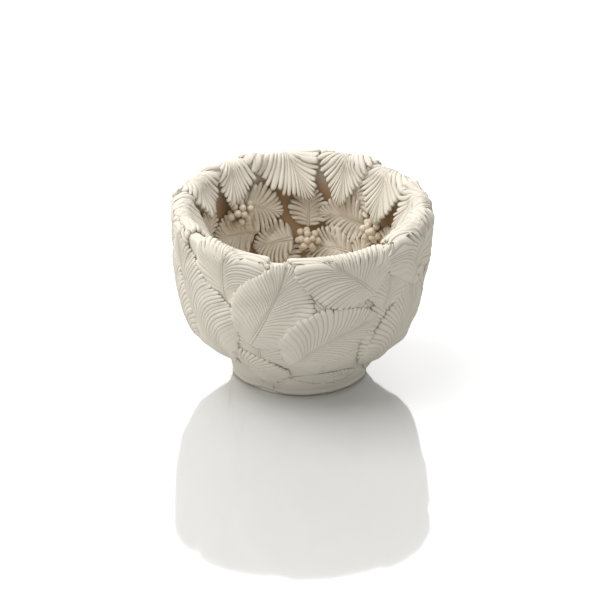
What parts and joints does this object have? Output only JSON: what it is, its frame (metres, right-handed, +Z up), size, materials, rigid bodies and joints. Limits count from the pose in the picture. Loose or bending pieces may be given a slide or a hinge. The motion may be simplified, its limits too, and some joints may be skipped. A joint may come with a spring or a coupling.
{
  "type": "leaf-clad ceramic bowl",
  "caption": "Small round unglazed ceramic bowl on a foot ring, clad outside, over the rim and inside with overlapping leaf sprigs, with bud clusters inside.",
  "frame": {"origin": "centre of the foot ring's underside, on the surface that the bowl stands on", "axes": "+Z up, out of the bowl's mouth; -Y towards the bowl's front, where the large rim leaf folds in"},
  "size_m": [0.1313, 0.1293, 0.0943],
  "materials": {
    "porcelain_body": "matt, unglazed",
    "porcelain_leaf": "matt, unglazed",
    "porcelain_lining": "matt, unglazed",
    "porcelain_bud": "matt, unglazed"
  },
  "bodies": {
    "root": {"thrown_body": "porcelain_body", "foot_ring": "porcelain_body", "lower_leaf_01": "porcelain_leaf", "lower_leaf_02": "porcelain_leaf", "lower_leaf_03": "porcelain_leaf", "lower_leaf_04": "porcelain_leaf", "lower_leaf_05": "porcelain_leaf", "lower_leaf_06": "porcelain_leaf", "lower_leaf_07": "porcelain_leaf", "lower_leaf_08": "porcelain_leaf", "lower_leaf_09": "porcelain_leaf", "lower_leaf_10": "porcelain_leaf", "inner_leaf_01": "porcelain_lining", "inner_leaf_02": "porcelain_lining", "inner_leaf_03": "porcelain_lining", "inner_leaf_04": "porcelain_lining", "inner_leaf_05": "porcelain_lining", "inner_leaf_06": "porcelain_lining", "inner_leaf_07": "porcelain_lining", "inner_leaf_08": "porcelain_lining", "inner_leaf_09": "porcelain_lining", "inner_leaf_10": "porcelain_lining", "inner_leaf_11": "porcelain_lining", "inner_leaf_12": "porcelain_lining", "inner_leaf_13": "porcelain_lining", "inner_leaf_14": "porcelain_lining", "inner_leaf_15": "porcelain_lining", "inner_leaf_16": "porcelain_lining", "inner_leaf_17": "porcelain_lining", "inner_leaf_18": "porcelain_lining", "inner_leaf_19": "porcelain_lining", "bud_cluster_01": "porcelain_bud", "bud_cluster_02": "porcelain_bud", "bud_cluster_03": "porcelain_bud", "bud_cluster_04": "porcelain_bud", "bud_cluster_05": "porcelain_bud", "bud_cluster_06": "porcelain_bud", "rim_leaf_01": "porcelain_leaf", "rim_leaf_02": "porcelain_leaf", "rim_leaf_03": "porcelain_leaf", "rim_leaf_04": "porcelain_leaf", "rim_leaf_05": "porcelain_leaf", "rim_leaf_06": "porcelain_leaf", "rim_leaf_07": "porcelain_leaf", "rim_leaf_08": "porcelain_leaf", "rim_leaf_09": "porcelain_leaf", "rim_leaf_10": "porcelain_leaf", "belly_leaf_01": "porcelain_leaf", "belly_leaf_02": "porcelain_leaf", "belly_leaf_03": "porcelain_leaf", "belly_leaf_04": "porcelain_leaf", "belly_leaf_05": "porcelain_leaf", "belly_leaf_06": "porcelain_leaf", "belly_leaf_07": "porcelain_leaf", "belly_leaf_08": "porcelain_leaf", "belly_leaf_09": "porcelain_leaf", "belly_leaf_10": "porcelain_leaf", "belly_leaf_11": "porcelain_leaf", "belly_leaf_12": "porcelain_leaf"}
  },
  "joints": []
}
